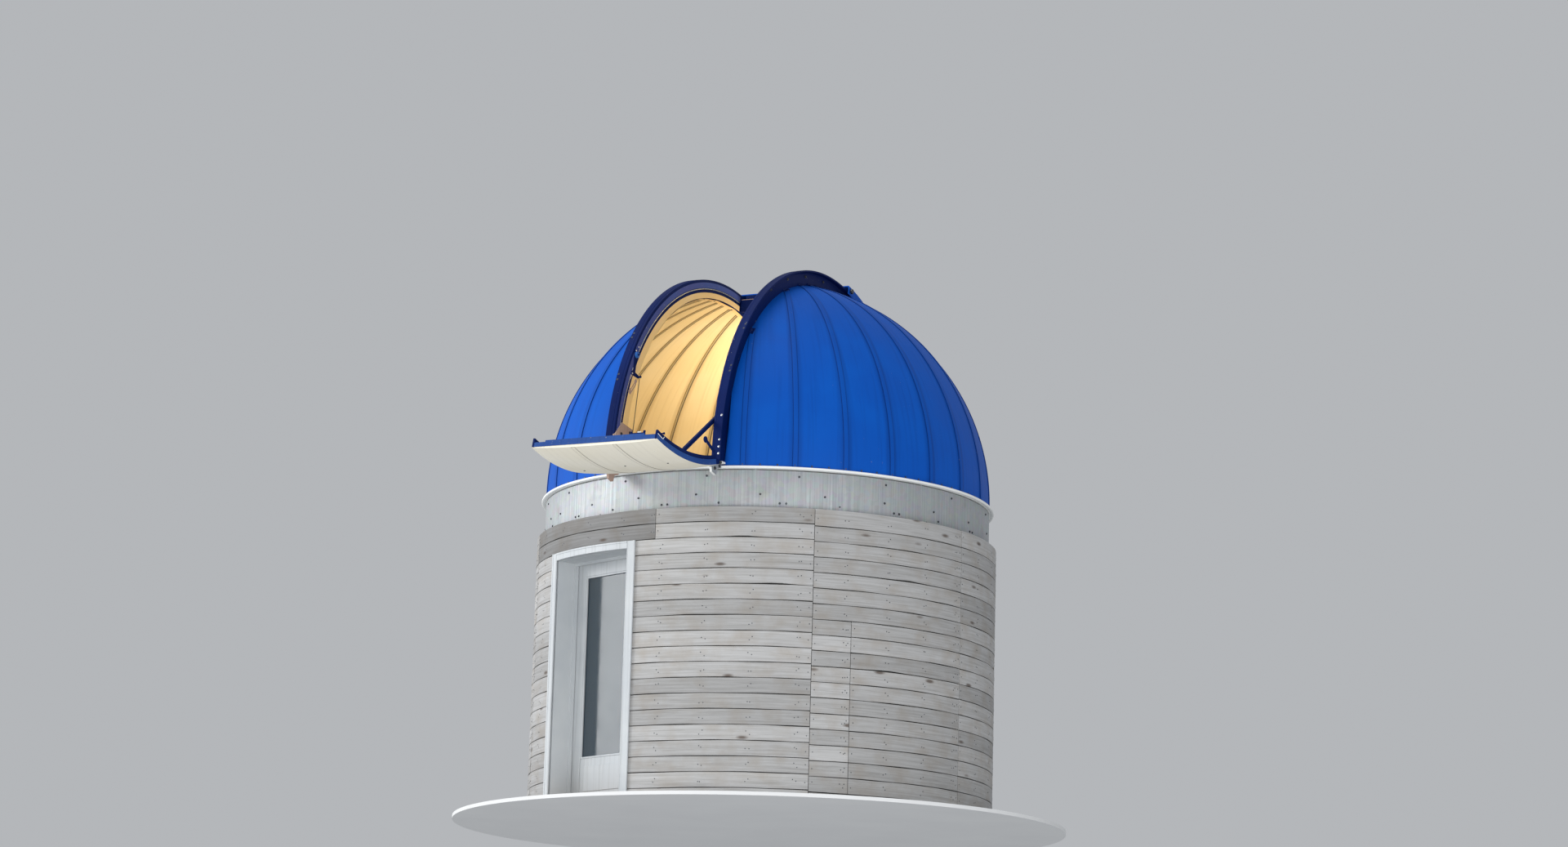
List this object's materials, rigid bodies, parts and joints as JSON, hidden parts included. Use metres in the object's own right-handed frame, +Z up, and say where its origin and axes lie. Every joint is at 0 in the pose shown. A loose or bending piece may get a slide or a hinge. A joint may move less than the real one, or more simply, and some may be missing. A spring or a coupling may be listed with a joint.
{
  "type": "observatory dome",
  "caption": "Round timber-clad observatory with a turning metal dome, a slit between arch rails, a shutter that slides over the back and a drop-out flap at its foot.",
  "frame": {"origin": "on the drum's axis at ground level, on the underside of the floor", "axes": "+Z up, -Y out through the slit over the open flap, +X to the right of the slit seen from above with -Y at the bottom"},
  "size_m": [3.7279, 4.9392, 4.4875],
  "materials": {
    "timber": "weathered grey boards",
    "trim": "painted",
    "floor": "bare boards",
    "steel": "galvanised",
    "lip": "white, semi-gloss",
    "skin": "blue, semi-gloss",
    "navy": "dark navy, satin",
    "flap": "cream, semi-gloss",
    "rope": "braided",
    "glass": "clear"
  },
  "bodies": {
    "base": {"wall_right_front": "timber", "wall_right": "timber", "wall_right_rear": "timber", "wall_left_rear": "timber", "wall_left": "timber", "wall_left_front": "timber", "door_lintel": "timber", "door_sill": "floor", "floor": "floor", "door_jamb_hinge": "trim", "door_jamb_latch": "trim", "door_head": "trim", "door_casing_left": "trim", "door_casing_right": "trim", "door_casing_head": "trim", "fixed_ring": "steel"},
    "dome": {"dome_base_ring": "lip", "skin_right_front": "skin", "skin_right_middle": "skin", "skin_right_rear": "skin", "skin_left_front": "skin", "skin_left_middle": "skin", "skin_left_rear": "skin", "skin_back_upper": "skin", "skin_back_lower": "skin", "slit_header": "navy", "rail_right": "navy", "rail_left": "navy", "flap_bracket_right": "steel", "flap_bracket_left": "steel", "jamb_gusset": "steel", "jamb_pulley": "steel", "jamb_rope": "rope"},
    "shutter": {"shutter": "skin"},
    "flap": {"flap_panel": "flap", "flap_front_bar": "navy", "flap_frame_right": "navy", "flap_frame_left": "navy"},
    "stay": {"stay_bar": "navy"},
    "door": {"door_leaf": "trim", "door_pane": "glass", "door_hinge_lower": "steel", "door_hinge_upper": "steel", "door_handle_outside": "steel", "door_handle_inside": "steel"}
  },
  "joints": [
    {"name": "dome_rotation", "type": "hinge", "parent": "base", "child": "dome", "pos_m": [0, 0, 2.572], "axis": [0, 0, 1], "continuous": true},
    {"name": "shutter_slide", "type": "hinge", "parent": "dome", "child": "shutter", "pos_m": [0, 0, 2.572], "axis": [1, 0, 0], "range_deg": [0, 68.5]},
    {"name": "flap_hinge", "type": "hinge", "parent": "dome", "child": "flap", "pos_m": [0, -1.952, 2.557], "axis": [-1, 0, 0], "range_deg": [0, 106]},
    {"name": "stay_fold", "type": "hinge", "parent": "flap", "child": "stay", "pos_m": [0.41, -2.36007, 2.57386], "axis": [-1, 0, 0], "range_deg": [-134.2, 0]},
    {"name": "door_hinge", "type": "hinge", "parent": "base", "child": "door", "pos_m": [-0.99737, -1.26433, 1], "axis": [0, 0, 1], "range_deg": [0, 95]}
  ],
  "couplings": [
    {"joint": "stay_fold", "follows": "flap_hinge", "ratio": -1.266}
  ]
}
